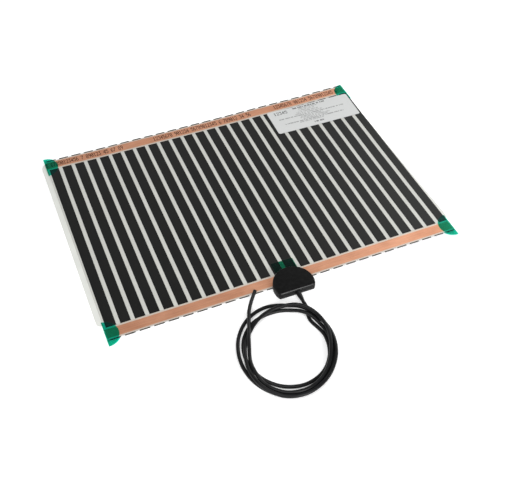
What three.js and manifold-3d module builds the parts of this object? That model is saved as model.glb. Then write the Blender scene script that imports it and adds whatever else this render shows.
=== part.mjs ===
// Mirror heating mat: a printed heating foil with an adhesive back, which is stuck behind a mirror.
// It lies on a level surface with its paper liner on, and its supply lead is coiled in front of it.
// Millimetres. X runs along the mat, Y across it towards the back edge, and Z is up.
// The origin is the middle of the mat, on the underside of the liner.

import * as THREE from 'three';
import { mergeVertices } from 'three/addons/utils/BufferGeometryUtils.js';
import Module from 'manifold-3d';

// Foil laminate
const filmLength = 574;
const filmDepth = 410;
const baseFilmThickness = 0.15;
const coverSkin = 0.12;
const printClearance = 0.3;

// Carbon bars, which run across the mat
const barWidth = 16;
const barGap = 6.27;
const barThickness = 0.08;
const firstBarInset = 3.1;
const smallestBar = 2;
const barEndMargin = 0.8;

// Silver print along both long edges, with a copper strip laid on it
const busMargin = 2.7;
const busWidth = 21.8;
const busThickness = 0.06;
const copperInset = 2.4;
const copperWidth = 16.4;
const copperThickness = 0.08;
const splitGap = 7;

// Adhesive back and its release liner
const adhesiveThickness = 0.1;
const linerThickness = 0.15;
const linerFrontInset = 29.5;
const linerBackInset = 4.5;
const linerLeftOverhang = 8.5;
const linerRightOverhang = 5.5;
const linerRightSkew = 6.5;
const linerFrontCorner = 8;
const linerBackCorner = 16;

// Round insulating tapes, each folded over a corner of the foil
const tapeRadius = 22.5;
const tapeThickness = 0.1;
const tapeFoldOffset = 1.25;
const tapeStandoff = 1.3;
const tapeFrontInset = 13.5;
const tapeBackLeftInset = 16;
const tapeBackRightInset = 21;
const tapeClearance = 0.4;

// Paper label on the face of the mat
const labelLength = 161;
const labelDepth = 62;
const labelThickness = 0.1;
const labelCorner = 4;
const labelTilt = -1.2;
const labelRightInset = 2.8;
const labelBackInset = 26.2;

// Insulating patch under the housing
const patchWidth = 36;
const patchShift = 3.6;
const patchThickness = 0.1;
const patchFrontMargin = 2;
const patchReach = 46.5;
const patchCorner = 2;

// Housing where the lead joins the two halves of the front strip
const housingX = 0.9;
const housingRadius = 32;
const housingOverhang = 8.2;
const housingNose = 14.4;
const housingCorner = 4;
const housingHeight = 12.2;
const seamHeight = 5.4;
const seamGroove = 0.8;
const rimHeight = 9.8;
const rimGroove = 0.5;
const grooveDepth = 0.6;
const topRound = 1.2;
const footBevel = 0.4;
const rebateClearance = 0.3;

// Strain relief
const neckRadius = 3.2;
const neckLength = 5;
const neckClearance = 0.3;
const reliefRadius = 4.2;
const reliefTipRadius = 3.1;
const reliefLength = 15;

// Lead
const leadDiameter = 5.5;
const leadSides = 10;
const leadClearance = 0.3;

// Coil: the outer shape of the lead's turns
const coilX = -55.2;
const coilY = -313;
const coilRadiusX = 74;
const coilRadiusY = 79;
const coilBand = 20;
const coilHeight = 11;
const coilChamfer = 3;
const coilSegments = 56;

// Heights of the layers
const underside = linerThickness + Math.max(adhesiveThickness, tapeThickness);
const barBottom = underside + baseFilmThickness;
const busBottom = barBottom + barThickness;
const copperBottom = busBottom + busThickness;
const copperTop = copperBottom + copperThickness;
const faceHeight = copperTop + coverSkin;
const patchTop = faceHeight + patchThickness;
const labelBottom = faceHeight + tapeThickness;

// Edges of the foil
const leftEdge = -filmLength / 2;
const rightEdge = filmLength / 2;
const frontEdge = -filmDepth / 2;
const backEdge = filmDepth / 2;

// Housing's place
const housingY = frontEdge - housingOverhang;
const noseY = housingY - housingNose;
const reliefTipY = noseY - reliefLength;

// Middle of the lead from the strain relief to the coil
const leadExitRoute = [
  [housingX, reliefTipY - leadClearance, seamHeight],
  [housingX, -244.6, 5.2],
  [1, -246.8, 4.8],
  [1.2, -249.2, 4.2],
  [1.3, -251.6, 3.6],
  [1.4, -254, 3.15],
  [1.4, -256.3, 2.9],
  [1.4, -258.4, 2.85],
];

// Middle of the lead from the coil to its bare end, which lies on the mat's front edge
const leadEndRoute = [
  [-82.1, -237, 8],
  [-79.8, -232.8, 7.6],
  [-77, -227.9, 6.9],
  [-73.7, -222.8, 5.9],
  [-70.2, -217.6, 4.9],
  [-66.6, -212.5, 4.1],
  [-63.2, -207.9, 3.7],
  [-60.1, -203.8, 3.6],
  [-57.1, -200, 3.6],
];

const wasm = await Module();
wasm.setup();

const mat = new THREE.Group();

const finishes = {
  liner: { color: 0xe4e5df, roughness: 0.75, metalness: 0 },
  adhesive: { color: 0xd9d8cf, roughness: 0.5, metalness: 0 },
  film: { color: 0xd6d8d2, roughness: 0.25, metalness: 0 },
  carbon: { color: 0x262624, roughness: 0.55, metalness: 0 },
  silver: { color: 0xcfcdc6, roughness: 0.5, metalness: 0.3 },
  copper: { color: 0xd58f6c, roughness: 0.4, metalness: 0.8 },
  tape: { color: 0x0f7a54, roughness: 0.3, metalness: 0 },
  label: { color: 0xdcddda, roughness: 0.6, metalness: 0 },
  housing: { color: 0x1e1e1e, roughness: 0.55, metalness: 0 },
  lead: { color: 0x202020, roughness: 0.5, metalness: 0 },
};

function add(name, geometry, finish) {
  const mesh = new THREE.Mesh(geometry, new THREE.MeshStandardMaterial(finishes[finish]));
  mesh.name = name;
  mat.add(mesh);
  return mesh;
}

// Turn a closed mesh into a solid for cutting, and back
function solidOf(geometry) {
  const bare = geometry.clone();
  bare.deleteAttribute('normal');
  bare.deleteAttribute('uv');
  const merged = mergeVertices(bare, 1e-5);
  return new wasm.Manifold(new wasm.Mesh({
    numProp: 3,
    vertProperties: Float32Array.from(merged.attributes.position.array),
    triVerts: Uint32Array.from(merged.index.array),
  }));
}

function geometryOf(solid) {
  const mesh = solid.getMesh();
  const geometry = new THREE.BufferGeometry();
  geometry.setAttribute('position', new THREE.BufferAttribute(mesh.vertProperties, 3));
  geometry.setIndex(new THREE.BufferAttribute(mesh.triVerts, 1));
  geometry.computeVertexNormals();
  return geometry;
}

// A flat rectangle in plan, kept as its four edges
function area(x0, x1, y0, y1) {
  return { x0, x1, y0, y1 };
}

function grown(a, by) {
  return area(a.x0 - by, a.x1 + by, a.y0 - by, a.y1 + by);
}

function block(a, bottom, top) {
  const geometry = new THREE.BoxGeometry(a.x1 - a.x0, a.y1 - a.y0, top - bottom);
  return geometry.translate((a.x0 + a.x1) / 2, (a.y0 + a.y1) / 2, (bottom + top) / 2);
}

function plate(shape, bottom, top) {
  const geometry = new THREE.ExtrudeGeometry(shape, {
    depth: top - bottom,
    bevelEnabled: false,
    curveSegments: 12,
  });
  return geometry.translate(0, 0, bottom);
}

// Straight-sided outline with rounded corners, each corner given as [x, y, radius]
function roundedOutline(corners) {
  const shape = new THREE.Shape();
  corners.forEach(([x, y, radius], i) => {
    const corner = new THREE.Vector2(x, y);
    const before = new THREE.Vector2(...corners.at(i - 1));
    const after = new THREE.Vector2(...corners[(i + 1) % corners.length]);
    const start = before.sub(corner).setLength(radius).add(corner);
    const end = after.sub(corner).setLength(radius).add(corner);
    if (i === 0) shape.moveTo(start.x, start.y);
    else shape.lineTo(start.x, start.y);
    shape.quadraticCurveTo(x, y, end.x, end.y);
  });
  return shape;
}

function roundedRectangle(width, depth, radius) {
  return roundedOutline([
    [-width / 2, -depth / 2, radius],
    [width / 2, -depth / 2, radius],
    [width / 2, depth / 2, radius],
    [-width / 2, depth / 2, radius],
  ]);
}

// Carbon bars: the last one is cut through with the foil
const bars = [];
for (let x = leftEdge + firstBarInset; x < rightEdge - smallestBar; x += barWidth + barGap) {
  bars.push(area(x, Math.min(x + barWidth, rightEdge), frontEdge + barEndMargin, backEdge - barEndMargin));
}

// Silver print and copper strips: one along the back, two along the front, parted under the housing
const stretches = [
  { name: 'back', side: 1, x0: leftEdge, x1: rightEdge },
  { name: 'front_left', side: -1, x0: leftEdge, x1: housingX - splitGap / 2 },
  { name: 'front_right', side: -1, x0: housingX + splitGap / 2, x1: rightEdge },
];

function stripArea(stretch, margin, width) {
  const outer = stretch.side * (filmDepth / 2 - margin);
  const inner = outer - stretch.side * width;
  return area(stretch.x0, stretch.x1, Math.min(outer, inner), Math.max(outer, inner));
}

const busAreas = stretches.map((stretch) => stripArea(stretch, busMargin, busWidth));
const copperAreas = stretches.map((stretch) => stripArea(stretch, busMargin + copperInset, copperWidth));

function addPrint() {
  bars.forEach((bar, i) => {
    add(`carbon_bar_${String(i + 1).padStart(2, '0')}`, block(bar, barBottom, busBottom), 'carbon');
  });
  stretches.forEach((stretch, i) => {
    add(`bus_print_${stretch.name}`, block(busAreas[i], busBottom, copperBottom), 'silver');
    add(`copper_strip_${stretch.name}`, block(copperAreas[i], copperBottom, copperTop), 'copper');
  });
}

// Base film under the print, and the cover film that is laminated over it
function addFilms() {
  const film = area(leftEdge, rightEdge, frontEdge, backEdge);
  add('base_film', block(film, underside, barBottom), 'film');
  const pocket = (a, top) => solidOf(block(grown(a, printClearance), underside, top));
  const pockets = [
    ...bars.map((bar) => pocket(bar, busBottom)),
    ...busAreas.map((bus) => pocket(bus, copperBottom)),
    ...copperAreas.map((copper) => pocket(copper, copperTop)),
  ];
  const cover = pockets.reduce((rest, cut) => rest.subtract(cut), solidOf(block(film, barBottom, faceHeight)));
  add('cover_film', geometryOf(cover), 'film');
}

// Corners that have a tape: direction along X out of the foil, the foil's edge, and the disc's middle
const tapes = [
  { name: 'front_left', out: -1, edge: leftEdge, y: frontEdge + tapeFrontInset },
  { name: 'front_right', out: 1, edge: rightEdge, y: frontEdge + tapeFrontInset },
  { name: 'back_left', out: -1, edge: leftEdge, y: backEdge - tapeBackLeftInset },
  { name: 'back_right', out: 1, edge: rightEdge, y: backEdge - tapeBackRightInset },
];

// The part of a disc that lies on the foil's side of the fold
function tapeLeaf(tape, offset, extra = 0) {
  const fold = tape.edge + tape.out * (tapeStandoff + tapeThickness);
  const radius = tapeRadius + extra;
  const half = Math.acos(offset / radius);
  const inward = tape.out > 0 ? Math.PI : 0;
  const shape = new THREE.Shape();
  shape.absarc(fold + tape.out * offset, tape.y, radius, inward - half, inward + half, false);
  return shape;
}

function addTapes() {
  for (const tape of tapes) {
    const upper = plate(tapeLeaf(tape, tapeFoldOffset), faceHeight, faceHeight + tapeThickness);
    const lower = plate(tapeLeaf(tape, -tapeFoldOffset), underside - tapeThickness, underside);
    const halfChord = Math.sqrt(tapeRadius ** 2 - tapeFoldOffset ** 2);
    const foldInside = tape.edge + tape.out * tapeStandoff;
    const foldOutside = foldInside + tape.out * tapeThickness;
    const wall = area(
      Math.min(foldInside, foldOutside),
      Math.max(foldInside, foldOutside),
      tape.y - halfChord,
      tape.y + halfChord,
    );
    const fold = block(wall, underside - tapeThickness, faceHeight + tapeThickness);
    add(`corner_tape_${tape.name}`, geometryOf(solidOf(upper).add(solidOf(fold)).add(solidOf(lower))), 'tape');
  }
}

// Adhesive on the underside, left away round the folded tapes, and the paper that covers it
function addBack() {
  const sticky = area(leftEdge, rightEdge, frontEdge + linerFrontInset, backEdge - linerBackInset);
  const bottom = underside - adhesiveThickness;
  const cuts = tapes.map((tape) => solidOf(plate(
    tapeLeaf(tape, -tapeFoldOffset, tapeClearance),
    bottom - adhesiveThickness,
    underside + adhesiveThickness,
  )));
  const sheet = cuts.reduce((rest, cut) => rest.subtract(cut), solidOf(block(sticky, bottom, underside)));
  add('adhesive_sheet', geometryOf(sheet), 'adhesive');
  const right = rightEdge + linerRightOverhang;
  const liner = roundedOutline([
    [leftEdge - linerLeftOverhang, sticky.y0, linerFrontCorner],
    [right, sticky.y0, linerFrontCorner],
    [right - linerRightSkew, sticky.y1, linerFrontCorner],
    [leftEdge - linerLeftOverhang, sticky.y1, linerBackCorner],
  ]);
  add('release_liner', plate(liner, 0, linerThickness), 'liner');
}

function addLabel() {
  const shape = roundedRectangle(labelLength, labelDepth, labelCorner);
  const label = add('label', plate(shape, 0, labelThickness), 'label');
  label.position.set(
    rightEdge - labelRightInset - labelLength / 2,
    backEdge - labelBackInset - labelDepth / 2,
    labelBottom,
  );
  label.rotation.z = THREE.MathUtils.degToRad(labelTilt);
}

function addPatch() {
  const depth = patchReach - patchFrontMargin;
  const shape = roundedRectangle(patchWidth, depth, patchCorner);
  const patch = add('insulating_patch', plate(shape, 0, patchThickness), 'tape');
  patch.position.set(housingX + patchShift, frontEdge + patchFrontMargin + depth / 2, faceHeight);
}

// Outline of the housing, a disc with a flat nose, drawn inwards by an inset
function housingOutline(inset) {
  const radius = housingRadius - inset;
  const nose = housingNose - inset;
  const corner = housingCorner - inset;
  const cornerX = Math.sqrt((radius - corner) ** 2 - (nose - corner) ** 2);
  const cornerY = corner - nose;
  const side = Math.atan2(cornerY, cornerX);
  const shape = new THREE.Shape();
  shape.moveTo(-cornerX, -nose);
  shape.absarc(cornerX, cornerY, corner, -Math.PI / 2, side, false);
  shape.absarc(0, 0, radius, side, Math.PI - side, false);
  shape.absarc(-cornerX, cornerY, corner, Math.PI - side, 1.5 * Math.PI, false);
  const points = shape.getPoints(24);
  return points.filter((point, i) => point.distanceTo(points.at(i - 1)) > 1e-4);
}

// Closed body through outlines at several heights, each given as [inset, height]
function stacked(levels) {
  const rings = levels.map(([inset]) => housingOutline(inset));
  const count = rings[0].length;
  const positions = rings.flatMap((ring, level) => ring.flatMap((point) => [
    housingX + point.x,
    housingY + point.y,
    levels[level][1],
  ]));
  const index = [];
  for (let level = 0; level + 1 < rings.length; level += 1) {
    for (let i = 0; i < count; i += 1) {
      const a = level * count + i;
      const b = level * count + ((i + 1) % count);
      index.push(a, b, b + count, a, b + count, a + count);
    }
  }
  const top = (rings.length - 1) * count;
  for (const [a, b, c] of THREE.ShapeUtils.triangulateShape(rings.at(-1), [])) {
    index.push(top + a, top + b, top + c);
  }
  for (const [a, b, c] of THREE.ShapeUtils.triangulateShape(rings[0], [])) index.push(c, b, a);
  const geometry = new THREE.BufferGeometry();
  geometry.setAttribute('position', new THREE.Float32BufferAttribute(positions, 3));
  geometry.setIndex(index);
  return geometry;
}

// Base and cover of the housing, with the neck's hole half in each
function addHousing() {
  const boreRadius = neckRadius + neckClearance;
  const boreLength = 2 * (neckLength + neckClearance);
  const bore = new THREE.CylinderGeometry(boreRadius, boreRadius, boreLength, 32);
  bore.translate(housingX, noseY, seamHeight);
  const hole = solidOf(bore);
  const rebate = area(
    housingX - 2 * housingRadius,
    housingX + 2 * housingRadius,
    frontEdge - rebateClearance,
    housingY + 2 * housingRadius,
  );
  const base = solidOf(stacked([
    [footBevel, 0],
    [0, footBevel],
    [0, seamHeight],
  ]));
  const overFoil = solidOf(block(rebate, -patchTop, patchTop));
  add('connector_base', geometryOf(base.subtract(overFoil).subtract(hole)), 'housing');
  const cover = solidOf(stacked([
    [grooveDepth, seamHeight],
    [grooveDepth, seamHeight + seamGroove],
    [0, seamHeight + seamGroove],
    [0, rimHeight - rimGroove],
    [grooveDepth, rimHeight - rimGroove],
    [grooveDepth, rimHeight],
    [0, rimHeight],
    [0, housingHeight - topRound],
    [topRound * 0.3, housingHeight - topRound * 0.3],
    [topRound, housingHeight],
  ]));
  add('connector_cover', geometryOf(cover.subtract(hole)), 'housing');
}

function addStrainRelief() {
  const profile = [
    [0, -neckLength],
    [neckRadius, -neckLength],
    [neckRadius, neckClearance],
    [reliefRadius, neckClearance],
    [reliefRadius, 0.2 * reliefLength],
    [reliefTipRadius, reliefLength],
    [0, reliefLength],
  ].map(([radius, along]) => new THREE.Vector2(radius, along));
  const relief = add('strain_relief', new THREE.LatheGeometry(profile, 32), 'lead');
  relief.position.set(housingX, noseY, seamHeight);
  relief.rotation.x = Math.PI;
}

function leadTube(route, steps) {
  const section = new THREE.Shape();
  for (let i = 0; i < leadSides; i += 1) {
    const angle = (2 * Math.PI * i) / leadSides;
    const point = [0.5 * leadDiameter * Math.cos(angle), 0.5 * leadDiameter * Math.sin(angle)];
    if (i === 0) section.moveTo(...point);
    else section.lineTo(...point);
  }
  const path = new THREE.CatmullRomCurve3(route.map((point) => new THREE.Vector3(...point)));
  return new THREE.ExtrudeGeometry(section, { steps, extrudePath: path });
}

function addLead() {
  add('lead_exit', leadTube(leadExitRoute, 6), 'lead');
  add('lead_end', leadTube(leadEndRoute, 8), 'lead');
  const inner = coilRadiusX - coilBand;
  const profile = [
    [inner + coilChamfer, 0],
    [coilRadiusX - coilChamfer, 0],
    [coilRadiusX, coilChamfer],
    [coilRadiusX, coilHeight - coilChamfer],
    [coilRadiusX - coilChamfer, coilHeight],
    [inner + coilChamfer, coilHeight],
    [inner, coilHeight - coilChamfer],
    [inner, coilChamfer],
    [inner + coilChamfer, 0],
  ].map(([radius, height]) => new THREE.Vector2(radius, height));
  const ring = new THREE.LatheGeometry(profile, coilSegments);
  ring.rotateX(Math.PI / 2);
  ring.scale(1, coilRadiusY / coilRadiusX, 1);
  const coil = add('lead_coil', ring, 'lead');
  coil.position.set(coilX, coilY, 0);
}

addBack();
addFilms();
addPrint();
addTapes();
addPatch();
addLabel();
addHousing();
addStrainRelief();
addLead();

export default mat;
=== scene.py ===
import math

import bmesh
import bpy
import numpy as np
from bpy.props import FloatProperty, FloatVectorProperty, PointerProperty
from mathutils import Matrix, Vector


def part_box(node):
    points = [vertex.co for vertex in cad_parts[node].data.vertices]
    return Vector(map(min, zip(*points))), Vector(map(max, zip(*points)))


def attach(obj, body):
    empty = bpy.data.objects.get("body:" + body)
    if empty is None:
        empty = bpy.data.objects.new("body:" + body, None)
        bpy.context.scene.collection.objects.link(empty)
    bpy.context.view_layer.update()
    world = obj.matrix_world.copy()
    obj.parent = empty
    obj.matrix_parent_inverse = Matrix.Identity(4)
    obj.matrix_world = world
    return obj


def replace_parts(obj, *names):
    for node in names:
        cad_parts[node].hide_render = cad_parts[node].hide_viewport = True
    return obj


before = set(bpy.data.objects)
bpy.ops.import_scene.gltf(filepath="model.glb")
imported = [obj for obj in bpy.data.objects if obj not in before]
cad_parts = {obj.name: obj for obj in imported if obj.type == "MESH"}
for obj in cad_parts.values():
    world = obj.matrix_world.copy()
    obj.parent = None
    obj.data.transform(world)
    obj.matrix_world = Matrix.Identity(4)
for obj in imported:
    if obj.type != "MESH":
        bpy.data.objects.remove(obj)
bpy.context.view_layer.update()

bl_info = {
    "name": "Mirror heating mat",
    "version": (1, 0, 0),
    "blender": (4, 5, 0),
    "location": "3D View > Sidebar > Heating mat",
    "description": "Dresses a printed mirror heating foil, its connector housing and its coiled lead",
    "category": "Object",
}

MM = 0.001

# Photograph's frame and the point of it that the lens's axis goes through, in pixels
PHOTO_WIDTH = 520
AXIS_X = 232
FOCAL_PIXELS = 816.5
SENSOR_WIDTH = 36

# Middle of the lead from the strain relief to the coil, in metres
LEAD_EXIT_ROUTE = [
    (0.0009, -0.2429, 0.0054),
    (0.0009, -0.2446, 0.0052),
    (0.0010, -0.2468, 0.0048),
    (0.0012, -0.2492, 0.0042),
    (0.0013, -0.2516, 0.0036),
    (0.0014, -0.2540, 0.00315),
    (0.0014, -0.2563, 0.0029),
    (0.0014, -0.2584, 0.00285),
]

# Middle of the lead from the coil to its bare end on the mat's front edge, in metres
LEAD_END_ROUTE = [
    (-0.0821, -0.2370, 0.0080),
    (-0.0798, -0.2328, 0.0076),
    (-0.0770, -0.2279, 0.0069),
    (-0.0737, -0.2228, 0.0059),
    (-0.0702, -0.2176, 0.0049),
    (-0.0666, -0.2125, 0.0041),
    (-0.0632, -0.2079, 0.0037),
    (-0.0601, -0.2038, 0.0036),
    (-0.0571, -0.2000, 0.0036),
]

# Ovals that the coil's turns follow: how far the middle of each lies to the right of the coil's middle
# and behind it, half its width and half its depth, in millimetres, and its tilt in degrees
COIL_OVALS = [
    (-0.5, 1, 60.5, 65, 0),
    (-2, 1, 67, 78, 12),
    (3, -6, 64, 77, 30),
    (2.5, -4, 58, 73, 25),
]

# Bearings round the coil in degrees, clockwise from the back and counted on from turn to turn: where
# the lead comes onto the coil, where it leaves, by where in a turn it has passed to the next oval, and
# a step along it
COIL_START = 60
COIL_END = 3 * 360 + 300
COIL_PASSED = 120
COIL_STEP = 30

# How the lead is laid: points of its curve between two given ones, step between its final points,
# closest spacing of two stretches in radii of the lead, and radius of the low hump where it passes
# over itself
SPAN_POINTS = 12
LEAD_STEP = 2.5 * MM
LEAD_SPACING = 2.04
HUMP_RADIUS = 60 * MM

# Height that the foil has risen by, in millimetres, at five places from its left edge to its right
# one: front, middle and back rows
RISE = [
    (0.6, 0.1, 0.0, 1.0, 1.8),
    (0.9, 0.3, 0.1, 0.5, 1.2),
    (3.0, 1.2, 0.2, 0.8, 2.0),
]

# Ripples in the foil: height in millimetres, radians for each metre to the right and to the back, and
# radians to start from
RIPPLES = [
    (0.16, 47, 9, 0),
    (0.12, -13, 61, 1),
]

# Places on the front edge where the housing and the lead's end hold the foil down, in metres: X, and
# how far the hold reaches
HELD_DOWN = [
    (0.001, 0.05),
    (-0.058, 0.02),
]

# Side of the square net that a sheet is cut along so that it can bend
NET = 12 * MM

# Clearance between the two films
FILM_CLEARANCE = 0.02 * MM

# Liner: its right edge's slant, its corners from the front left one, and its share of the foil's rise
LINER_SLANT = 6.5 * MM
LINER_CORNERS = [8 * MM, 8 * MM, 8 * MM, 16 * MM]
LINER_RISE = 0.8
ADHESIVE_RISE = 0.97

# Clear foil past the ends of the bars, at its front and back edge
BAR_FRONT_MARGIN = 0.9 * MM
BAR_BACK_MARGIN = 0.2 * MM

# Corner tapes: discs whose middle lies a little to the lower leaf's side of the fold. Past the foil's
# long edges the leaves droop and close up, over the distance given.
TAPE_RADIUS = 22.5 * MM
TAPE_OFFSET = 1.25 * MM
TAPE_THICKNESS = 0.06 * MM
TAPE_CLEARANCE = 0.05 * MM
TAPE_STUCK_GAP = 0.07 * MM
TAPE_CLOSING = 2.5 * MM
TAPE_DROOP = 0.3 * MM
TAPE_SIDES = 72

# Size of the label in metres, its corners, and its turn in degrees
LABEL_SIZE = (0.161, 0.062)
LABEL_CORNER = 4 * MM
LABEL_TILT = -1.2

# Housing: lower and upper edge of its groove over the floor, depth of its grooves, worn arris beside
# them, height of the groove at its seam, height of its chamfer, and corners of its nose
GROOVE_LOW = 9.3 * MM
GROOVE_HIGH = 9.8 * MM
GROOVE_DEPTH = 0.6 * MM
ARRIS = 0.15 * MM
ARRIS_HEIGHT = 0.2 * MM
SEAM_HEIGHT = 0.8 * MM
CHAMFER_HEIGHT = 1.05 * MM
NOSE_CORNER = 4 * MM

# Printed numbers: thickness of their ink, size of a dot in spacings of dots, and spacing of the
# figures and of their dots on the strip and on the label
INK_THICKNESS = 0.02 * MM
DOT_SIZE = (1.35, 1.05)
STRIP_MARGIN = 3.6 * MM
STRIP_LETTER = 4.5 * MM
STRIP_DOT = (0.74 * MM, 1.42 * MM)
LABEL_LETTER = 5.4 * MM
LABEL_DOT = (0.85 * MM, 1.15 * MM)

# Rows of a plain dot-matrix figure from its top, one bit for a dot
FIGURES = {
    "0": (14, 17, 19, 21, 25, 17, 14),
    "1": (4, 12, 4, 4, 4, 4, 14),
    "2": (14, 17, 1, 2, 4, 8, 31),
    "3": (31, 2, 4, 2, 1, 17, 14),
    "4": (2, 6, 10, 18, 31, 2, 2),
    "5": (31, 16, 30, 1, 1, 17, 14),
    "6": (6, 8, 16, 30, 17, 17, 14),
    "7": (31, 1, 2, 4, 8, 8, 8),
    "8": (14, 17, 17, 14, 17, 17, 14),
    "9": (14, 17, 17, 15, 1, 2, 12),
}

# Groups of plain numbers along the back strip: where each starts from the foil's left edge, in
# millimetres, and its figures
STRIP_NUMBERS = [
    (-1, "5 67890123456 7 890123 45 67 89"),
    (195, "12345678 901234 56789012345 6 789012 34 56"),
    (430, "12345678 901234 56789012345 6"),
]


def corners(node):
    """Lowest and highest corner of a node, as two vectors in metres."""
    low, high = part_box(node)
    return Vector(low), Vector(high)


FOIL_LOW, FOIL_HIGH = corners("base_film")


def turned(x, y, angle):
    """A point in plan, turned about the origin by an angle in radians."""
    return x * math.cos(angle) - y * math.sin(angle), x * math.sin(angle) + y * math.cos(angle)


class Value:
    """A socket of a material's nodes. Sums on it add Math nodes."""

    def __init__(self, tree, socket=None):
        self.tree = tree
        self.socket = socket

    def node(self, kind, settings=None, inputs=None, output=0):
        """Add a node: its settings first, then the values or links of its inputs."""
        node = self.tree.nodes.new(kind)
        for name, setting in (settings or {}).items():
            setattr(node, name, setting)
        for name, value in (inputs or {}).items():
            if isinstance(value, Value):
                self.tree.links.new(value.socket, node.inputs[name])
            else:
                node.inputs[name].default_value = value
        return Value(self.tree, node.outputs[output])

    def maths(self, operation, *values):
        return self.node("ShaderNodeMath", {"operation": operation}, dict(enumerate(values)))

    def __add__(self, other):
        return self.maths("ADD", self, other)

    def __sub__(self, other):
        return self.maths("SUBTRACT", self, other)

    def __mul__(self, other):
        return self.maths("MULTIPLY", self, other)

    def __truediv__(self, other):
        return self.maths("DIVIDE", self, other)

    def __gt__(self, other):
        return self.maths("GREATER_THAN", self, other)

    def __lt__(self, other):
        return self.maths("LESS_THAN", self, other)

    def absolute(self):
        return self.maths("ABSOLUTE", self)

    def soft_step(self, low, high):
        """0 below low and 1 above high, eased between them."""
        return self.node(
            "ShaderNodeMapRange",
            {"interpolation_type": "SMOOTHSTEP"},
            {"Value": self, "From Min": low, "From Max": high},
        )

    def mix(self, first, second):
        """A colour between two, with this value as the share of the second."""
        return self.node(
            "ShaderNodeMix",
            {"data_type": "RGBA"},
            {0: self, 6: colour(first), 7: colour(second)},
            output=2,
        )


def colour(value):
    """A colour with its alpha, or a link as it is."""
    return value if isinstance(value, Value) else (*value[:3], 1)


class Finish:
    """A material with a Principled BSDF, and the inputs that its patterns start from."""

    def __init__(self, name, **constants):
        self.material = bpy.data.materials.new(name)
        self.material.use_nodes = True
        self.tree = self.material.node_tree
        self.tree.nodes.clear()
        self.root = Value(self.tree)
        self.shader = self.root.node("ShaderNodeBsdfPrincipled")
        self.surface = self.tree.nodes.new("ShaderNodeOutputMaterial").inputs["Surface"]
        self.tree.links.new(self.shader.socket, self.surface)
        for name, value in constants.items():
            self.set(name.replace("_", " ").title(), value)

    def set(self, name, value):
        """Give an input of the Principled BSDF a value or a link."""
        names = {"Specular": "Specular IOR Level"}
        socket = self.shader.socket.node.inputs[names.get(name, name)]
        if isinstance(value, Value):
            self.tree.links.new(value.socket, socket)
        elif socket.type == "RGBA":
            socket.default_value = colour(value)
        else:
            socket.default_value = value

    def vary(self, share, shade, factor):
        """Colour the surface from a shade to the same shade times a factor, by a varying share."""
        self.set("Base Color", share.mix(shade, [part * factor for part in shade]))

    def place(self):
        """The point on the object, in metres."""
        return self.root.node("ShaderNodeTexCoord", output="Object")

    def axes(self):
        """The point's X, Y and Z as three values."""
        place = self.place()
        split = self.tree.nodes.new("ShaderNodeSeparateXYZ")
        self.tree.links.new(place.socket, split.inputs[0])
        return [Value(self.tree, socket) for socket in split.outputs]

    def noise(self, size, detail=4, roughness=0.5, stretch=(1, 1, 1)):
        """Cloudy noise from 0 to 1, with features of about the size given in metres."""
        place = self.root.node(
            "ShaderNodeVectorMath",
            {"operation": "MULTIPLY"},
            {0: self.place(), 1: stretch},
        )
        return self.root.node(
            "ShaderNodeTexNoise",
            {},
            {"Vector": place, "Scale": 1 / size, "Detail": detail, "Roughness": roughness},
        )

    def bump(self, height, strength, distance):
        """Let a height stand out of the surface."""
        self.set("Normal", self.root.node(
            "ShaderNodeBump",
            {},
            {"Height": height, "Strength": strength, "Distance": distance},
        ))


def liner_finish(look):
    """White siliconised release paper."""
    paper = Finish("release_paper", roughness=0.62)
    paper.vary(paper.noise(0.035).soft_step(0.3, 0.7), look.liner_colour, 0.93)
    paper.bump(paper.noise(0.0012, detail=2), 0.25, 0.0001)
    return paper.material


def adhesive_finish():
    """Clear adhesive coat, seen only at its edge."""
    coat = Finish("adhesive_coat", base_color=(0.7, 0.69, 0.64), roughness=0.35)
    coat.bump(coat.noise(0.004), 0.2, 0.0002)
    return coat.material


def base_film_finish(look):
    """Clear film with the pale adhesive and liner showing through, and clear alone past them."""
    film = Finish("backed_film", roughness=0.4, specular=0.35)
    y = film.axes()[1]
    backed = (y > corners("bus_print_front_left")[1].y) * (y < corners("adhesive_sheet")[1].y)
    cloud = film.noise(0.06, detail=5)
    grain = film.noise(0.002, detail=2)
    tone = (cloud - 0.5) * 0.5 + (grain - 0.5) * 0.35 + 0.5
    film.vary(tone.soft_step(0.2, 0.8), look.film_colour, 0.86)
    film.set("Alpha", backed * 0.92 + 0.08)
    film.bump(grain, 0.12, 0.0001)
    return film.material


def cover_film_finish(look):
    """Clear polyester film, which shows by its sheen alone."""
    film = Finish("cover_film_clear", base_color=(0.8, 0.82, 0.8), roughness=0.35)
    film.set("Alpha", look.film_haze)
    film.bump(film.noise(0.05, detail=3), 0.1, 0.0006)
    return film.material


def carbon_finish(look):
    """Printed carbon ink under the film: nearly black, with a faint grain and cloudy sheen."""
    ink = Finish("carbon_print", specular=look.carbon_sheen)
    cloud = ink.noise(0.05, detail=5)
    grain = ink.noise(0.0016, detail=3, roughness=0.7)
    tone = (cloud - 0.5) * 0.6 + (grain - 0.5) * 0.8 + 0.5
    ink.set("Base Color", tone.soft_step(0.2, 0.85).mix(look.carbon_dark, look.carbon_light))
    ink.set("Roughness", cloud * 0.12 + 0.4)
    ink.bump(grain, 0.1, 0.00006)
    return ink.material


def silver_finish(look):
    """Printed silver bus bar, a warm pale grey with a fine screen grain."""
    ink = Finish("silver_print", metallic=0.25, roughness=0.5)
    grain = ink.noise(0.0012, detail=3)
    ink.vary(grain.soft_step(0.25, 0.75), look.silver_colour, 0.82)
    ink.bump(grain, 0.25, 0.0001)
    return ink.material


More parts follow.
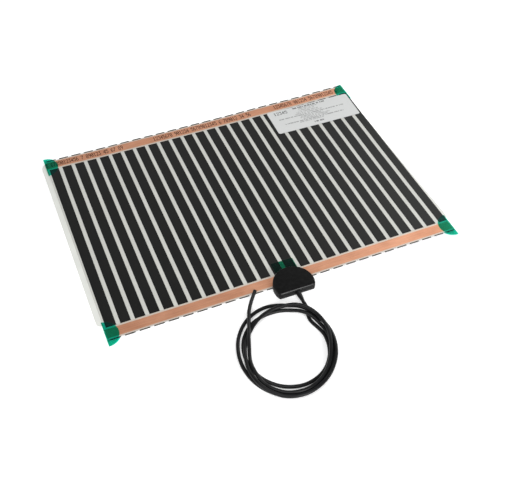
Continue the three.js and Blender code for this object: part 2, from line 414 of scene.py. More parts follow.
def copper_finish(look):
    """Rolled copper foil: lengthwise rolling streaks and light tarnish."""
    foil = Finish("copper_foil", metallic=look.copper_metal)
    streak = foil.noise(0.0016, detail=3, stretch=(0.06, 1, 1))
    cloud = foil.noise(0.045, detail=5)
    tone = (streak - 0.5) * 0.45 + (cloud - 0.5) * 0.8 + 0.5
    foil.set("Base Color", tone.soft_step(0.15, 0.85).mix(look.copper_light, look.copper_dark))
    foil.set("Roughness", streak * 0.2 + 0.4)
    foil.bump(streak, 0.15, 0.0001)
    return foil.material


def number_finish(name, shade):
    """Ink of the printed numbers, slightly uneven."""
    ink = Finish(name, roughness=0.6, specular=0.2)
    ink.vary(ink.noise(0.002, detail=3), shade, 1.8)
    return ink.material


def tape_finish(name, own, tint, cover):
    """Glossy green tape that tints what is under it, with a faint colour of its own."""
    tape = Finish(name, roughness=0.3)
    cloud = tape.noise(0.012, detail=3)
    tape.vary(cloud.soft_step(0.3, 0.7), own, 0.7)
    tape.bump(cloud, 0.25, 0.0006)
    clear = tape.root.node("ShaderNodeBsdfTransparent", {}, {"Color": colour(tint)})
    both = tape.root.node("ShaderNodeMixShader", {}, {0: cover, 1: clear, 2: tape.shader})
    tape.tree.links.new(both.socket, tape.surface)
    return tape.material


def label_finish(look):
    """White paper label with rows of pale grey strokes."""
    paper = Finish("label_paper", roughness=0.55)
    low, high = corners("label")
    middle = (low + high) / 2
    x, y = paper.axes()[:2]
    x = x - middle.x
    y = y - middle.y
    tilt = math.radians(LABEL_TILT)
    along = x * math.cos(tilt) + y * math.sin(tilt)
    across = along / LABEL_SIZE[0] + 0.5
    up = (y * math.cos(tilt) - x * math.sin(tilt)) / LABEL_SIZE[1] + 0.5
    ink = None
    for centre, height, start, end, darkness, word in label_rows():
        near = ((up - centre).absolute() < height / 2) * (across > start) * (across < end)
        letters = paper.root.node(
            "ShaderNodeTexNoise",
            {"noise_dimensions": "1D"},
            {"W": along / word + centre * 31, "Scale": 1, "Detail": 1},
        )
        row = near * (letters > 0.44) * darkness
        ink = row if ink is None else ink + row
    grain = paper.noise(0.0015, detail=3)
    paper.set("Base Color", (ink + grain * 0.06).mix(look.label_colour, look.label_ink))
    paper.bump(grain, 0.12, 0.0001)
    return paper.material


def label_rows():
    """Rows of strokes on the label: middle and height as shares of its depth, start and end along it,
    darkness, and length of a stroke in metres."""
    yield 0.93, 0.06, 0.31, 0.71, 0.75, 0.0034
    yield 0.86, 0.04, 0.37, 0.60, 0.4, 0.0026
    yield 0.79, 0.04, 0.36, 0.56, 0.4, 0.0026
    yield 0.72, 0.04, 0.33, 0.60, 0.4, 0.0026
    yield 0.65, 0.04, 0.30, 0.64, 0.4, 0.0026
    yield 0.575, 0.045, 0.09, 0.89, 0.5, 0.0030
    yield 0.51, 0.04, 0.35, 0.62, 0.4, 0.0026
    yield 0.45, 0.04, 0.33, 0.70, 0.4, 0.0026
    yield 0.39, 0.04, 0.36, 0.66, 0.4, 0.0026
    yield 0.33, 0.045, 0.13, 0.85, 0.5, 0.0030
    yield 0.27, 0.04, 0.30, 0.60, 0.4, 0.0026
    yield 0.15, 0.06, 0.46, 0.58, 0.7, 0.0034


def housing_finish(name, look, sheen):
    """Matt black moulded plastic with a fine spark grain, worn smoother along its edges."""
    plastic = Finish(name, specular=sheen)
    z = plastic.axes()[2]
    cloud = plastic.noise(0.006, detail=4)
    grain = plastic.noise(0.0011, detail=2)
    top = corners("connector_cover")[1].z
    chamfer = (z > top - CHAMFER_HEIGHT - 0.05 * MM) * (z < top - 0.05 * MM)
    arris = (z - GROOVE_HIGH - ARRIS).absolute() < 0.18 * MM
    worn = chamfer.maths("MAXIMUM", chamfer, arris)
    tone = (cloud - 0.5) * 0.9 + (grain - 0.5) * 0.7 + 0.5
    plastic.vary(tone.soft_step(0.3, 0.9), look.housing_colour, 3.4)
    plastic.set("Roughness", cloud * 0.1 + 0.52 - worn * 0.28)
    plastic.bump(grain, 0.35, 0.00015)
    return plastic.material


def sheath_finish(look):
    """Satin black sheath of the lead, with light scuffs."""
    sheath = Finish("lead_sheath_black", specular=look.black_sheen)
    cloud = sheath.noise(0.02, detail=4)
    grain = sheath.noise(0.0008, detail=2)
    sheath.vary(cloud.soft_step(0.3, 0.75), look.sheath_colour, 1.8)
    sheath.set("Roughness", cloud * 0.14 + 0.3)
    sheath.bump(grain, 0.15, 0.0001)
    return sheath.material


def core_finish(name, shade):
    """Insulation of a conductor, or its copper strands, at the lead's cut end."""
    core = Finish(name, roughness=0.4)
    grain = core.noise(0.0005, detail=2)
    core.vary(grain, shade, 0.7)
    core.bump(grain, 0.2, 0.0001)
    return core.material


def floor_finish(look):
    """Plain pale floor."""
    floor = Finish("pale_floor", roughness=0.9)
    floor.vary(floor.noise(0.5), look.floor_colour, 0.995)
    floor.set("Emission Color", (1, 1, 1))
    floor.set("Emission Strength", look.floor_glow)
    return floor.material


def eased(values, place):
    """Smooth run through evenly spaced values, with place from 0 to 1."""
    last = len(values) - 1
    at = min(max(place, 0), 1) * last
    index = min(int(at), last - 1)
    share = at - index
    share = share * share * (3 - 2 * share)
    return values[index] * (1 - share) + values[index + 1] * share


def lift(x, y):
    """How far the foil has risen off the floor at a point in plan, in metres."""
    size = FOIL_HIGH - FOIL_LOW
    across = (x - FOIL_LOW.x) / size.x
    up = (y - FOIL_LOW.y) / size.y
    rise = eased([eased(row, across) for row in RISE], up)
    for height, right, back, start in RIPPLES:
        rise += height * (1 + math.sin(x * right + y * back + start))
    for place, reach in HELD_DOWN:
        rise *= 1 - math.exp(-((x - place) ** 2 + (y - FOIL_LOW.y) ** 2) / (2 * reach ** 2))
    return rise * MM


def add_dot(mesh, corner, size, place, tilt, bottom):
    """Thin slab for one dot of a figure, bent with the foil."""
    base = []
    for right, up in ((0, 0), (1, 0), (1, 1), (0, 1)):
        x, y = turned(corner[0] + right * size[0], corner[1] + up * size[1], tilt)
        x += place[0]
        y += place[1]
        base.append((x, y, bottom + lift(x, y)))
    lower = [mesh.verts.new(point) for point in base]
    upper = [mesh.verts.new((x, y, z + INK_THICKNESS)) for x, y, z in base]
    mesh.faces.new(lower[::-1])
    mesh.faces.new(upper)
    for k in range(4):
        after = (k + 1) % 4
        mesh.faces.new((lower[k], lower[after], upper[after], upper[k]))


def printed_numbers(text, place, tilt, letter, dot, bottom):
    """Mesh of a row of figures: place of its lower left corner, tilt, spacing of the figures and of
    their dots, and height of its underside where the foil lies flat."""
    mesh = bmesh.new()
    size = (dot[0] * DOT_SIZE[0], dot[1] * DOT_SIZE[1])
    for index, figure in enumerate(text):
        for row, bits in enumerate(FIGURES.get(figure, ())):
            for column in range(5):
                if bits >> (4 - column) & 1:
                    corner = (index * letter + column * dot[0], (6 - row) * dot[1])
                    add_dot(mesh, corner, size, place, tilt, bottom)
    return mesh


def cut_along(mesh, normal, place):
    """Cut a mesh along a plane at a distance from the origin."""
    bmesh.ops.bisect_plane(
        mesh,
        geom=mesh.verts[:] + mesh.edges[:] + mesh.faces[:],
        dist=1e-8,
        plane_co=normal * place,
        plane_no=normal,
    )


def cut_sheet(outline, step):
    """Flat mesh of an outline in plan, cut along a square net so that it can bend."""
    mesh = bmesh.new()
    mesh.faces.new([mesh.verts.new((x, y, 0)) for x, y in outline])
    sliver = 0.2 * MM
    for normal in (Vector((1, 0, 0)), Vector((0, 1, 0))):
        reach = [normal.dot(vert.co) for vert in mesh.verts]
        place = (math.floor(min(reach) / step) + 1) * step
        while place < max(reach) - sliver:
            if place > min(reach) + sliver:
                cut_along(mesh, normal, place)
            place += step
    return mesh


def bent_sheet(outline, bottom, top, step=NET, share=1.0):
    """Closed sheet between two heights over the floor, bent by a share of the foil's rise."""
    mesh = cut_sheet(outline, step)
    raised = bmesh.ops.extrude_face_region(mesh, geom=mesh.faces[:])["geom"]
    for item in raised:
        if isinstance(item, bmesh.types.BMVert):
            item.co.z = top - bottom
    for vert in mesh.verts:
        vert.co.z += bottom + share * lift(vert.co.x, vert.co.y)
    bmesh.ops.recalc_face_normals(mesh, faces=mesh.faces[:])
    return mesh


def rectangle(low, high):
    """Corners in plan between a lowest and a highest one."""
    return [(low.x, low.y), (high.x, low.y), (high.x, high.y), (low.x, high.y)]


def rounded(outline, radii, steps=6):
    """Straight-sided outline with its corners rounded."""
    points = []
    for i, corner in enumerate(outline):
        here = Vector(corner)
        before = (Vector(outline[i - 1]) - here).normalized() * radii[i]
        after = (Vector(outline[(i + 1) % len(outline)]) - here).normalized() * radii[i]
        for k in range(steps + 1):
            t = k / steps
            points.append(tuple(here + before * (1 - t) ** 2 + after * t ** 2))
    return points


def make_piece(name, mesh, material, sharp=40):
    """Object of a finished mesh, riding on the part."""
    data = bpy.data.meshes.new(name)
    mesh.to_mesh(data)
    mesh.free()
    data.materials.append(material)
    data.shade_smooth()
    data.set_sharp_from_angle(angle=math.radians(sharp))
    piece = bpy.data.objects.new(name, data)
    bpy.context.scene.collection.objects.link(piece)
    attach(piece, "root")
    return piece


def lay_sheet(name, node, material, share=1.0):
    """Bent rectangular sheet in place of a node's flat one."""
    low, high = corners(node)
    mesh = bent_sheet(rectangle(low, high), low.z, high.z, NET, share)
    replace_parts(make_piece(name, mesh, material), node)


def catmull(points, per_span):
    """Points along a smooth curve through the given ones."""
    points = [Vector(point) for point in points]
    ends = [points[0] * 2 - points[1], *points, points[-1] * 2 - points[-2]]
    curve = []
    for a, b, c, d in zip(ends, ends[1:], ends[2:], ends[3:]):
        for k in range(per_span):
            t = k / per_span
            straight = 2 * b + (c - a) * t
            bent = (2 * a - 5 * b + 4 * c - d) * t ** 2 + (3 * b - a - 3 * c + d) * t ** 3
            curve.append(0.5 * (straight + bent))
    curve.append(points[-1])
    return curve


def evenly(points, step):
    """The same curve with points a step apart, ending at its own end."""
    points = np.array(points)
    along = np.concatenate([[0], np.cumsum(np.linalg.norm(np.diff(points, axis=0), axis=1))])
    count = max(2, round(along[-1] / step) + 1)
    places = np.linspace(0, along[-1], count)
    return np.stack([np.interp(places, along, points[:, k]) for k in range(3)], axis=1)


def coil_points(middle, height):
    """Points round the coil's turns, which pass from oval to oval at its back right."""
    points = []
    for bearing in range(COIL_START, COIL_END + 1, COIL_STEP):
        turn, part = divmod(bearing, 360)
        passed = min(part / COIL_PASSED, 1)
        ovals = COIL_OVALS[max(turn - 1, 0)], COIL_OVALS[turn]
        right, back, wide, deep, tilt = (a + (b - a) * passed for a, b in zip(*ovals))
        across = wide * math.sin(math.radians(bearing - tilt))
        along = deep * math.cos(math.radians(bearing - tilt))
        x, y = turned(across, along, -math.radians(tilt))
        points.append(Vector((middle.x + (right + x) * MM, middle.y + (back + y) * MM, height)))
    return points


def lead_route(radius):
    """Middle of the lead: out of the strain relief, round the coil, and straight on to its bare end."""
    low, high = corners("lead_coil")
    turns = coil_points((low + high) / 2, radius)
    onward = [turns[-1].lerp(Vector(LEAD_END_ROUTE[0]), share) for share in (0.35, 0.7)]
    points = [*LEAD_EXIT_ROUTE, *turns, *onward, *LEAD_END_ROUTE]
    return evenly(catmull(points, SPAN_POINTS), LEAD_STEP)


def lead_ground(route, radius):
    """Lowest height of the lead's middle at each point: on the mat, on the floor or as it was given."""
    face = corners("cover_film")[1].z
    ground = np.full(len(route), radius)
    for index, (x, y, z) in enumerate(route):
        if y > FOIL_LOW.y - 2 * MM:
            ground[index] += face + lift(x, y)
    return np.maximum(ground, route[:, 2])


def rest_lead(route, radius):
    """Lay the lead down: each stretch rests on the floor, the mat or the stretches laid before it."""
    spacing = LEAD_SPACING * radius
    order = np.arange(len(route))
    step = float(np.mean(np.linalg.norm(np.diff(route, axis=0), axis=1)))
    behind = (order[:, None] - order[None, :]) * step
    apart = np.linalg.norm(route[:, None, :2] - route[None, :, :2], axis=2)
    touching = (behind > 8 * spacing) & (apart < spacing)
    over = np.sqrt(np.maximum(spacing ** 2 - apart ** 2, 0))
    ground = lead_ground(route, radius)
    hump = behind ** 2 / (2 * HUMP_RADIUS)
    window = np.hanning(11)
    window /= window.sum()
    height = ground.copy()
    for _ in range(8):
        needed = np.maximum(np.where(touching, height[None, :] + over, 0).max(axis=1), ground)
        arched = np.maximum((needed[None, :] - hump).max(axis=1), ground)
        padded = np.pad(arched, len(window) // 2, mode="edge")
        height = np.maximum(np.convolve(padded, window, mode="valid"), ground)
    height[:3] = ground[:3]
    return np.column_stack([route[:, :2], height])


def tube_mesh(path, radius, sides):
    """Closed round tube along a path, with a flat end at each end."""
    mesh = bmesh.new()
    path = [Vector(point) for point in path]
    rings = []
    across = Vector((0, 0, 1))
    for i, point in enumerate(path):
        along = (path[min(i + 1, len(path) - 1)] - path[max(i - 1, 0)]).normalized()
        across = (across - along * across.dot(along)).normalized()
        side = along.cross(across)
        rings.append([
            mesh.verts.new(point + radius * (across * math.cos(turn) + side * math.sin(turn)))
            for turn in (2 * math.pi * k / sides for k in range(sides))
        ])
    for ring, after in zip(rings, rings[1:]):
        for k in range(sides):
            mesh.faces.new((ring[k], ring[(k + 1) % sides], after[(k + 1) % sides], after[k]))
    mesh.faces.new(rings[0])
    mesh.faces.new(rings[-1])
    bmesh.ops.recalc_face_normals(mesh, faces=mesh.faces[:])
    return mesh


def turned_mesh(profile, sides):
    """Closed body turned round Z from a profile of (radius, height) that starts and ends on the axis."""
    mesh = bmesh.new()
    rings = []
    for radius, height in profile:
        if radius < 1e-9:
            rings.append([mesh.verts.new((0, 0, height))])
        else:
            rings.append([
                mesh.verts.new((radius * math.cos(turn), radius * math.sin(turn), height))
                for turn in (2 * math.pi * k / sides for k in range(sides))
            ])
    for ring, after in zip(rings, rings[1:]):
        for k in range(sides):
            a, b = ring[k % len(ring)], ring[(k + 1) % len(ring)]
            c, d = after[(k + 1) % len(after)], after[k % len(after)]
            mesh.faces.new(list(dict.fromkeys((a, b, c, d))))
    bmesh.ops.recalc_face_normals(mesh, faces=mesh.faces[:])
    return mesh


def shade(name, text, value):
    """Property that holds a colour."""
    return FloatVectorProperty(name=name, description=text, default=value, subtype="COLOR", min=0, max=1)


def amount(name, text, value):
    """Property that holds a share from 0 to 1."""
    return FloatProperty(name=name, description=text, default=value, subtype="FACTOR", min=0, max=1)


def point(name, text, value):
    """Property that holds a point, in metres."""
    return FloatVectorProperty(name=name, description=text, default=value, subtype="TRANSLATION")


def strength(name, text, value):
    """Property that holds the strength of a glow."""
    return FloatProperty(name=name, description=text, default=value, min=0)


def power(name, text, value):
    """Property that holds a lamp's power, in watts."""
    return FloatProperty(name=name, description=text, default=value, min=0, unit="POWER")


class MatLook(bpy.types.PropertyGroup):
    """Colours and films of the mat."""

    liner_colour: shade("Liner", "Colour of the release paper", (0.76, 0.77, 0.73))
    film_colour: shade("Film", "Colour of the film between the bars", (0.60, 0.605, 0.565))
    film_haze: amount("Haze", "Cover of the clear film", 0.002)
    carbon_dark: shade("Carbon, dark", "Darkest tone of the carbon bars", (0.0032, 0.0034, 0.0031))
    carbon_light: shade("Carbon, light", "Lightest tone of the carbon bars", (0.0075, 0.0078, 0.0076))
    carbon_sheen: amount("Carbon sheen", "Strength of the reflections on the carbon bars", 0.21)
    silver_colour: shade("Silver", "Colour of the printed bus bars", (0.66, 0.58, 0.5))
    copper_light: shade("Copper, light", "Lightest tone of the copper", (0.75, 0.38, 0.235))
    copper_dark: shade("Copper, dark", "Darkest tone of the copper", (0.53, 0.235, 0.13))
    copper_metal: amount("Metal", "How metallic the copper is", 0.65)
    print_colour: shade("Print", "Colour of the numbers on the back strip", (0.03, 0.008, 0.004))
    tape_colour: shade("Tape", "Colour of the green tape's own surface", (0.06, 0.14, 0.14))
    tape_tint: shade("Tint", "Colour that a face of the corner tapes lets through", (0.22, 0.90, 0.815))
    patch_colour: shade("Patch", "Colour of the patch's own surface", (0.07, 0.09, 0.10))
    patch_tint: shade("Patch tint", "Colour that a face of the patch lets through", (0.22, 0.72, 0.60))
    tape_cover: amount("Cover", "Share of the tape's own surface", 0.08)
    label_colour: shade("Label", "Colour of the label", (0.645, 0.655, 0.65))
    label_ink: shade("Label ink", "Colour of the strokes on the label", (0.05, 0.05, 0.05))


class LeadLook(bpy.types.PropertyGroup):
    """Size and colours of the housing and the lead."""

    diameter: FloatProperty(
        name="Diameter",
        description="Outer diameter of the lead",
        default=0.0055,
        unit="LENGTH",
    )
    sheath_colour: shade("Sheath", "Colour of the lead's sheath", (0.0045, 0.0046, 0.005))
    housing_colour: shade("Housing", "Colour of the housing", (0.003, 0.003, 0.003))
    black_sheen: amount("Sheen", "Strength of the reflections on the black parts", 0.22)
    # Painted shade: the top's reflections are turned down so that the top renders darker than the sides
    top_sheen: amount("Top sheen", "Strength of the reflections on the housing's spark-eroded top", 0.08)


class StageLook(bpy.types.PropertyGroup):
    """Camera, lights and floor."""

    camera_place: point("Camera", "Place of the camera", (-0.3582, -0.9100, 0.9618))
    camera_target: point("Target", "Point that the lens's axis goes through", (-0.0529, -0.0948, 0.0))
    camera_roll: FloatProperty(
        name="Roll",
        description="Turn of the camera about its axis",
        default=math.radians(-1.26),
        subtype="ANGLE",
    )
    floor_colour: shade("Floor", "Colour of the floor", (0.93, 0.93, 0.93))
    floor_glow: strength("Glow", "Light that comes through the floor", 0.3)
    sky_strength: strength("Sky", "Strength of the even light", 0.44)
    key_power: power("Key", "Power of the light behind the camera", 38)
    side_power: power("Side", "Power of the light on the right", 14)
    back_power: power("Back", "Power of the low light at the back", 4)
    front_power: power("Front", "Power of the low light in front", 20)


def set_camera(look):
    """Camera at the photograph's place, with the small shift of the photograph's framing."""
    data = bpy.data.cameras.new("camera")
    data.sensor_width = SENSOR_WIDTH
    data.lens = FOCAL_PIXELS * SENSOR_WIDTH / PHOTO_WIDTH
    data.shift_x = (PHOTO_WIDTH / 2 - AXIS_X) / PHOTO_WIDTH
    data.clip_start = 0.01
    camera = bpy.data.objects.new("camera", data)
    place = Vector(look.camera_place)
    facing = (Vector(look.camera_target) - place).to_track_quat("-Z", "Y").to_matrix()
    turn = facing @ Matrix.Rotation(look.camera_roll, 3, "Z")
    camera.matrix_world = Matrix.Translation(place) @ turn.to_4x4()
    bpy.context.scene.collection.objects.link(camera)
    bpy.context.scene.camera = camera


def add_light(name, place, target, size, power):
    """Large soft light that faces a point."""
    data = bpy.data.lights.new(name, "AREA")
    data.shape = "RECTANGLE"
    data.size, data.size_y = size
    data.energy = power
    light = bpy.data.objects.new(name, data)
    light.location = place
    light.rotation_euler = (Vector(target) - Vector(place)).to_track_quat("-Z", "Y").to_euler()
    bpy.context.scene.collection.objects.link(light)


def set_floor(look):
    """Wide pale floor just under the mat."""
    mesh = bmesh.new()
    bmesh.ops.create_grid(mesh, x_segments=8, y_segments=8, size=6)
    data = bpy.data.meshes.new("floor")
    mesh.to_mesh(data)
    mesh.free()
    data.materials.append(floor_finish(look))
    floor = bpy.data.objects.new("floor", data)
    floor.location.z = -0.1 * MM
    bpy.context.scene.collection.objects.link(floor)


def set_sky(look):
    """Even light from all round, weaker from above."""
    world = bpy.data.worlds.new("studio")
    world.use_nodes = True
    sky = world.node_tree.nodes["Background"]
    root = Value(world.node_tree)
    direction = root.node("ShaderNodeTexCoord", output="Generated")
    height = root.node("ShaderNodeSeparateXYZ", {}, {0: direction}, "Z")
    dome = height.soft_step(0.2, 0.9).mix((1, 1, 1), (0.2, 0.2, 0.2))
    world.node_tree.links.new(dome.socket, sky.inputs["Color"])
    sky.inputs["Strength"].default_value = look.sky_strength
    bpy.context.scene.world = world


class SetStage(bpy.types.Operator):
    """Set the camera, the floor and the soft studio light"""

    bl_idname = "heating_mat.set_stage"
    bl_label = "Set stage"

    def execute(self, context):
        look = context.scene.mat_stage
        set_camera(look)
        set_floor(look)
        add_light("key_light", (-0.9, -0.9, 2.2), (0, -0.1, 0), (2.0, 2.0), look.key_power)
        add_light("side_light", (1.4, 0.8, 1.2), (0, -0.1, 0), (1.2, 1.2), look.side_power)
        add_light("back_light", (0.17, 1.93, 1.41), (0, 0, 0), (2.0, 0.8), look.back_power)
        add_light("front_light", (0.3, -1.8, 0.9), (0, -0.2, 0), (0.8, 0.5), look.front_power)
        set_sky(look)
        context.scene.view_settings.view_transform = "Standard"
        return {"FINISHED"}


class LayLead(bpy.types.Operator):
    """Lay the supply lead: out of the strain relief, round its coil and on to its bare end"""

    bl_idname = "heating_mat.lay_lead"
    bl_label = "Lay lead"

    def execute(self, context):
        look = context.scene.mat_lead
        radius = look.diameter / 2
        route = rest_lead(lead_route(radius), radius)
        sheath = sheath_finish(look)
        lead = make_piece("lead_sheath", tube_mesh(route, radius, 20), sheath)
        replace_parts(lead, "lead_exit", "lead_coil", "lead_end")
        cores = self.add_cores(route, radius)
        relief = self.add_relief(sheath)
        return {"FINISHED"}

    def add_cores(self, route, radius):
        """The two conductors that show at the cut end."""
        tip, before = Vector(route[-1]), Vector(route[-4])
        along = (tip - before).normalized()
        side = along.cross(Vector((0, 0, 1))).normalized()
        cores = []
        for name, shade, way in (("brown", (0.09, 0.03, 0.012), 1), ("blue", (0.01, 0.05, 0.16), -1)):
            centre = tip + side * way * radius * 0.4
            inner = centre - along * 2 * MM
            skin = tube_mesh([inner, centre + along * 0.15 * MM], radius * 0.36, 14)
            wire = tube_mesh([inner, centre + along * 0.3 * MM], radius * 0.2, 10)
            plastic = core_finish(f"core_{name}", shade)
            cores.append(make_piece(f"core_{name}", skin, plastic))
            copper = core_finish(f"strands_{name}", (0.5, 0.2, 0.1))
            cores.append(make_piece(f"strands_{name}", wire, copper))
        return cores

    def add_relief(self, sheath):
        """Short tapered strain relief at the housing's nose."""
        low, high = corners("strain_relief")
        middle = (low + high) / 2
        wide = (high.x - low.x) / 2
        nose = corners("connector_base")[0].y
        out = nose - low.y
        inside = nose - high.y
        profile = [
            (0, inside),
            (wide * 0.75, inside),
            (wide * 0.75, 0.1 * MM),
            (wide * 0.93, 0.1 * MM),
            (wide, 0.5 * MM),
            (wide, 0.14 * out),
            (wide * 0.93, 0.3 * out),
            (wide * 0.85, 0.55 * out),
            (wide * 0.78, 0.8 * out),
            (wide * 0.745, 0.97 * out),
            (wide * 0.72, out),
            (0, out),
        ]
        mesh = turned_mesh(profile, 32)
        mesh.transform(Matrix.Rotation(math.radians(90), 4, "X"))
        mesh.transform(Matrix.Translation((middle.x, nose, middle.z)))
        relief = make_piece("lead_strain_relief", mesh, sheath)
        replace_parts(relief, "strain_relief")
        return relief


class LayBack(bpy.types.Operator):
    """Lay the release paper and the adhesive coat"""

    bl_idname = "heating_mat.lay_back"
    bl_label = "Lay back"

    def execute(self, context):
        look = context.scene.mat_look
        low, high = corners("release_liner")
        outline = rounded(
            [(low.x, low.y), (high.x, low.y), (high.x - LINER_SLANT, high.y), (low.x, high.y)],
            LINER_CORNERS,
        )
        mesh = bent_sheet(outline, low.z, high.z, share=LINER_RISE)
        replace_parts(make_piece("liner_sheet", mesh, liner_finish(look)), "release_liner")
        lay_sheet("adhesive_coat", "adhesive_sheet", adhesive_finish(), ADHESIVE_RISE)
        return {"FINISHED"}


class LayFilms(bpy.types.Operator):
    """Lay the base film and the cover film"""

    bl_idname = "heating_mat.lay_films"
    bl_label = "Lay films"

    def execute(self, context):
        look = context.scene.mat_look
        lay_sheet("base_film_sheet", "base_film", base_film_finish(look))
        low, high = corners("cover_film")
        mesh = bent_sheet(rectangle(low, high), low.z + FILM_CLEARANCE, high.z)
        cover = make_piece("cover_film_sheet", mesh, cover_film_finish(look))
        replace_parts(cover, "cover_film")
        return {"FINISHED"}


class PrintBars(bpy.types.Operator):
    """Print the carbon bars"""

    bl_idname = "heating_mat.print_bars"
    bl_label = "Print bars"

    def execute(self, context):
        ink = carbon_finish(context.scene.mat_look)
        for node in sorted(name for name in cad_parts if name.startswith("carbon_bar_")):
            low, high = corners(node)
            low.y = FOIL_LOW.y + BAR_FRONT_MARGIN
            high.y = FOIL_HIGH.y - BAR_BACK_MARGIN
            mesh = bent_sheet(rectangle(low, high), low.z, high.z)
            number = node.rsplit("_", 1)[1]
            bar = make_piece(f"ink_bar_{number}", mesh, ink)
            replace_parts(bar, node)
        return {"FINISHED"}


class LayStrips(bpy.types.Operator):
    """Print the silver bus bars and lay the copper strips on them"""

    bl_idname = "heating_mat.lay_strips"
    bl_label = "Lay strips"

    def execute(self, context):
        look = context.scene.mat_look
        silver = silver_finish(look)
        copper = copper_finish(look)
        for stretch in ("back", "front_left", "front_right"):
            lay_sheet(f"silver_bus_{stretch}", f"bus_print_{stretch}", silver)
            lay_sheet(f"copper_foil_{stretch}", f"copper_strip_{stretch}", copper)
        low, high = corners("copper_strip_back")
        ink = number_finish("strip_ink", look.print_colour)
        for group, (start, figures) in enumerate(STRIP_NUMBERS, 1):
            first = (FOIL_LOW.x + start * MM, low.y + STRIP_MARGIN)
            numbers = printed_numbers(figures, first, 0, STRIP_LETTER, STRIP_DOT, high.z)
            make_piece(f"strip_numbers_{group}", numbers, ink)
        return {"FINISHED"}


class FoldTapes(bpy.types.Operator):
    """Fold the round tapes over the corners and stick the insulating patch down"""

    bl_idname = "heating_mat.fold_tapes"
    bl_label = "Fold tapes"

    def execute(self, context):
        look = context.scene.mat_look
        tape = tape_finish("green_tape", look.tape_colour, look.tape_tint, look.tape_cover)
        for corner in ("front_left", "front_right", "back_left", "back_right"):
            mesh = self.folded(f"corner_tape_{corner}")
            folded = make_piece(f"green_tape_{corner}", mesh, tape, 60)
            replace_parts(folded, f"corner_tape_{corner}")
        low, high = corners("insulating_patch")
        mesh = bent_sheet(rounded(rectangle(low, high), [2 * MM] * 4), low.z, high.z, 6 * MM)
        film = tape_finish("green_patch", look.patch_colour, look.patch_tint, look.tape_cover)
        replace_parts(make_piece("green_patch", mesh, film), "insulating_patch")
        return {"FINISHED"}

    def disc(self, gap):
        """Flat disc of tape, folded along its Y later and cut so that it can fold and bend."""
        mesh = bmesh.new()
        mesh.faces.new([
            mesh.verts.new((TAPE_RADIUS * math.cos(turn) - TAPE_OFFSET, TAPE_RADIUS * math.sin(turn), 0))
            for turn in (2 * math.pi * k / TAPE_SIDES for k in range(TAPE_SIDES))
        ])
        cuts = [gap * math.pi / 2 * share for share in (-1, -0.5, 0, 0.5, 1)]
        cuts += [side * k * 3 * MM for k in range(1, 8) for side in (-1, 1)]
        for cut in sorted(cuts):
            cut_along(mesh, Vector((1, 0, 0)), cut)
        for k in range(-14, 15):
            cut_along(mesh, Vector((0, 1, 0)), k * 1.6 * MM)
        return mesh

    def folded(self, node):
        """Disc of tape folded round the foil's side, its leaves stuck together past the long edge."""
        low, high = corners(node)
        out = -1 if low.x < 0 else 1
        fold_x = low.x if out < 0 else high.x
        middle_y = (low.y + high.y) / 2
        inner = corners("base_film")[0].z
        outer = corners("cover_film")[1].z
        middle_z = (outer + inner) / 2
        open_gap = (outer - inner) / 2 + TAPE_CLEARANCE
        mesh = self.disc(open_gap)
        for vert in mesh.verts:
            across = vert.co.x
            y = middle_y + vert.co.y
            past = max(FOIL_LOW.y - y, y - FOIL_HIGH.y) / TAPE_CLOSING
            stuck = min(max(past + 0.3, 0), 1)
            gap = open_gap * (1 - stuck) + TAPE_STUCK_GAP * stuck
            turn = min(max(across / gap, -math.pi / 2), math.pi / 2)
            inward = abs(across) - gap * math.pi / 2
            if abs(turn) < math.pi / 2 - 1e-9:
                inward = -gap * math.cos(turn)
            x = fold_x - out * (gap + inward)
            z = middle_z - TAPE_DROOP * stuck + gap * math.sin(turn) + lift(x, y)
            vert.co = Vector((x, y, z))
        bmesh.ops.recalc_face_normals(mesh, faces=mesh.faces[:])
        bmesh.ops.solidify(mesh, geom=mesh.faces[:], thickness=-TAPE_THICKNESS)
        bmesh.ops.recalc_face_normals(mesh, faces=mesh.faces[:])
        return mesh


class StickLabel(bpy.types.Operator):
    """Stick the paper label on"""

    bl_idname = "heating_mat.stick_label"
    bl_label = "Stick label"

    def execute(self, context):
        look = context.scene.mat_look
        low, high = corners("label")
        width, depth = LABEL_SIZE
        half = Vector((width / 2, depth / 2))
        flat = rounded(rectangle(-half, half), [LABEL_CORNER] * 4)
        mesh = bent_sheet([self.on_mat(x, y) for x, y in flat], low.z, high.z, 8 * MM)
        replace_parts(make_piece("paper_label", mesh, label_finish(look)), "label")
        first = self.on_mat(-0.43 * width, 0.3 * depth)
        tilt = math.radians(LABEL_TILT)
        numbers = printed_numbers("12345", first, tilt, LABEL_LETTER, LABEL_DOT, high.z)
        make_piece("label_numbers", numbers, number_finish("label_ink", look.label_ink))
        return {"FINISHED"}

    def on_mat(self, x, y):
        """Place on the mat of a point of the label, given from the label's middle."""
        low, high = corners("label")
        middle = (low + high) / 2
        x, y = turned(x, y, math.radians(LABEL_TILT))
        return middle.x + x, middle.y + y


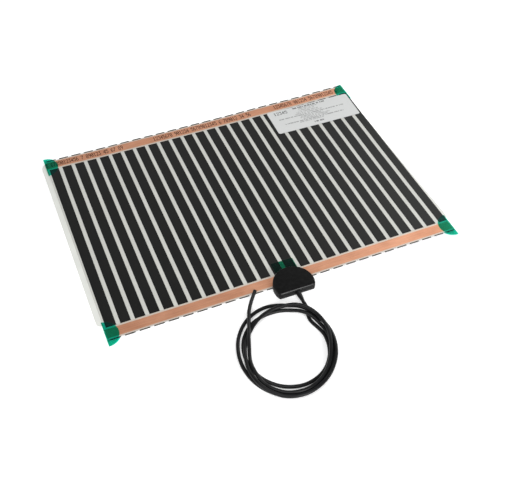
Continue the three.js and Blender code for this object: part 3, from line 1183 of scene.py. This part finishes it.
class MouldHousing(bpy.types.Operator):
    """Mould the connector housing's base and cover"""

    bl_idname = "heating_mat.mould_housing"
    bl_label = "Mould housing"

    def execute(self, context):
        look = context.scene.mat_lead
        plastic = housing_finish("housing_black", look, look.black_sheen)
        low, high = corners("connector_cover")
        seam = low.z + SEAM_HEIGHT
        cover = self.stacked([
            (GROOVE_DEPTH, low.z),
            (GROOVE_DEPTH, seam),
            (ARRIS, seam),
            (0, seam + ARRIS_HEIGHT),
            (0, GROOVE_LOW - ARRIS_HEIGHT),
            (ARRIS, GROOVE_LOW),
            (GROOVE_DEPTH, GROOVE_LOW),
            (GROOVE_DEPTH, GROOVE_HIGH),
            (ARRIS, GROOVE_HIGH),
            (0, GROOVE_HIGH + ARRIS_HEIGHT),
            (0, high.z - CHAMFER_HEIGHT),
            (0.85 * MM, high.z - 0.07 * MM),
            (1.3 * MM, high.z),
        ])
        piece = make_piece("housing_cover", cover, plastic, 32)
        # The top faces get a copy of the finish with weaker reflections, a painted shade that makes the
        # top darker than the sides
        piece.data.materials.append(housing_finish("housing_black_top", look, look.top_sheen))
        for face in piece.data.polygons:
            if face.center.z > high.z - 0.01 * MM:
                face.material_index = 1
        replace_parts(piece, "connector_cover")
        top = corners("connector_base")[1].z
        base = self.stacked([
            (0.4 * MM, 0),
            (0.1 * MM, 0.15 * MM),
            (0, 0.4 * MM),
            (0, top - ARRIS),
            (ARRIS, top),
        ])
        piece = make_piece("housing_base", base, plastic, 32)
        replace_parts(piece, "connector_base")
        return {"FINISHED"}

    def outline(self, inset):
        """Disc with a flat nose and rounded corners, drawn inwards by an inset."""
        low, high = corners("connector_base")
        full = (high.x - low.x) / 2
        centre = Vector(((high.x + low.x) / 2, high.y - full))
        radius = full - inset
        nose = centre.y - low.y - inset
        corner = NOSE_CORNER - inset
        corner_x = math.sqrt((radius - corner) ** 2 - (nose - corner) ** 2)
        side = math.atan2(corner - nose, corner_x)
        points = []
        for middle, size, start, end, steps in (
            (Vector((corner_x, corner - nose)), corner, -math.pi / 2, side, 10),
            (Vector((0, 0)), radius, side, math.pi - side, 96),
            (Vector((-corner_x, corner - nose)), corner, math.pi - side, 1.5 * math.pi, 10),
        ):
            for k in range(steps):
                turn = start + (end - start) * k / steps
                points.append(centre + middle + size * Vector((math.cos(turn), math.sin(turn))))
        points.append(centre + Vector((-corner_x, -nose)))
        return points

    def stacked(self, levels):
        """Closed body through the outline at several insets and heights."""
        mesh = bmesh.new()
        rings = [
            [mesh.verts.new((*point, height)) for point in self.outline(inset)]
            for inset, height in levels
        ]
        for ring, above in zip(rings, rings[1:]):
            for k in range(len(ring)):
                after = (k + 1) % len(ring)
                mesh.faces.new((ring[k], ring[after], above[after], above[k]))
        mesh.faces.new(rings[0])
        mesh.faces.new(rings[-1])
        bmesh.ops.recalc_face_normals(mesh, faces=mesh.faces[:])
        return mesh


class HeatingMatPanel(bpy.types.Panel):
    """Sidebar panel that lists the steps"""

    bl_idname = "VIEW3D_PT_heating_mat"
    bl_label = "Heating mat"
    bl_space_type = "VIEW_3D"
    bl_region_type = "UI"
    bl_category = "Heating mat"

    def draw(self, context):
        for step in STEPS:
            self.layout.operator(step.bl_idname)


SETTINGS = {"mat_look": MatLook, "mat_lead": LeadLook, "mat_stage": StageLook}
STEPS = [SetStage, LayLead, LayBack, LayFilms, PrintBars, LayStrips, FoldTapes, StickLabel, MouldHousing]


def register():
    for kind in (*SETTINGS.values(), *STEPS, HeatingMatPanel):
        bpy.utils.register_class(kind)
    for name, kind in SETTINGS.items():
        setattr(bpy.types.Scene, name, PointerProperty(type=kind))


def unregister():
    for name in SETTINGS:
        delattr(bpy.types.Scene, name)
    for kind in reversed((*SETTINGS.values(), *STEPS, HeatingMatPanel)):
        bpy.utils.unregister_class(kind)


def main():
    register()
    bpy.ops.heating_mat.set_stage()
    bpy.ops.heating_mat.lay_lead()
    bpy.ops.heating_mat.lay_back()
    bpy.ops.heating_mat.lay_films()
    bpy.ops.heating_mat.print_bars()
    bpy.ops.heating_mat.lay_strips()
    bpy.ops.heating_mat.fold_tapes()
    bpy.ops.heating_mat.stick_label()
    bpy.ops.heating_mat.mould_housing()


if __name__ == "__main__":
    main()
